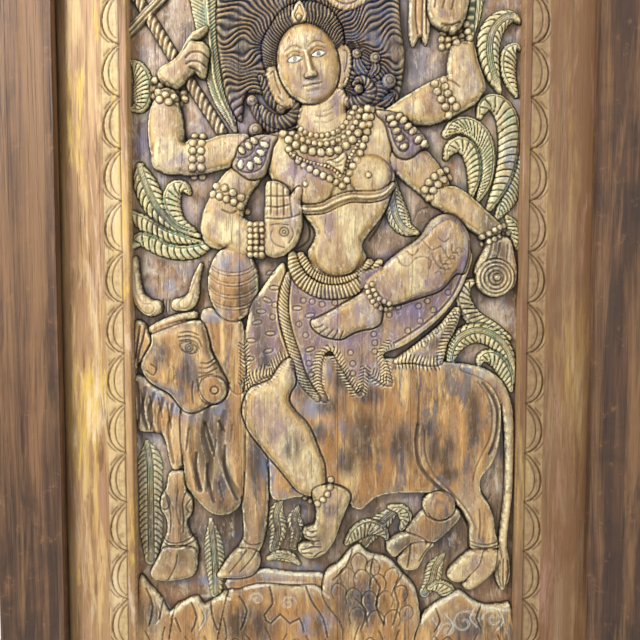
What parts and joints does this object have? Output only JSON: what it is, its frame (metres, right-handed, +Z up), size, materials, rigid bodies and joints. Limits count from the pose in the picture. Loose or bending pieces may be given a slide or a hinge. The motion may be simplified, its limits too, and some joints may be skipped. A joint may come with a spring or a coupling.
{
  "type": "carved temple door",
  "caption": "Carved wooden door leaf in its frame, with a figure seated on a bull in relief, iron pivots, a draw bolt and a pull ring.",
  "frame": {"origin": "on the floor under the middle of the frame's width and depth", "axes": "+X to the right seen from the carved face, +Y to the back, +Z up"},
  "size_m": [1.176, 0.112, 2.11],
  "materials": {
    "frame_timber": "oiled, darkened by age",
    "leaf_timber": "oiled, with traces of yellow paint",
    "carved_timber": "worn paint over bare wood",
    "batten_timber": "rough sawn",
    "peg_timber": "end grain",
    "forged_iron": "forged, lightly rusted"
  },
  "bodies": {
    "frame": {"left_jamb": "frame_timber", "right_jamb": "frame_timber", "lintel": "frame_timber", "threshold": "frame_timber", "frame_pegs": "peg_timber", "top_pivot_socket": "forged_iron", "bottom_pivot_socket": "forged_iron", "bolt_keeper": "forged_iron", "keeper_nails": "forged_iron"},
    "leaf": {"hinge_stile": "leaf_timber", "lock_stile": "leaf_timber", "bottom_rail": "leaf_timber", "top_rail": "leaf_timber", "leaf_pegs": "peg_timber", "lower_ledge": "batten_timber", "middle_ledge": "batten_timber", "upper_ledge": "batten_timber", "ledge_nails": "forged_iron", "top_pivot_pin": "forged_iron", "bottom_pivot_pin": "forged_iron", "thrust_washer": "forged_iron", "outer_bolt_guide": "forged_iron", "inner_bolt_guide": "forged_iron", "ring_plate": "forged_iron", "iron_nails": "forged_iron", "carved_plank_1": "carved_timber", "carved_plank_2": "carved_timber", "carved_plank_3": "carved_timber", "carved_plank_4": "carved_timber"},
    "bolt": {"draw_bolt": "forged_iron"},
    "ring": {"pull_ring": "forged_iron"}
  },
  "joints": [
    {"name": "leaf_swing", "type": "hinge", "parent": "frame", "child": "leaf", "pos_m": [-0.455, 0, 0], "axis": [0, 0, 1], "range_deg": [0, 90]},
    {"name": "bolt_slide", "type": "slide", "parent": "leaf", "child": "bolt", "axis": [1, 0, 0], "range_m": [0, 0.05]},
    {"name": "ring_swing", "type": "hinge", "parent": "leaf", "child": "ring", "pos_m": [0.4175, 0.046, 0.86], "axis": [1, 0, 0], "range_deg": [0, 85]}
  ]
}
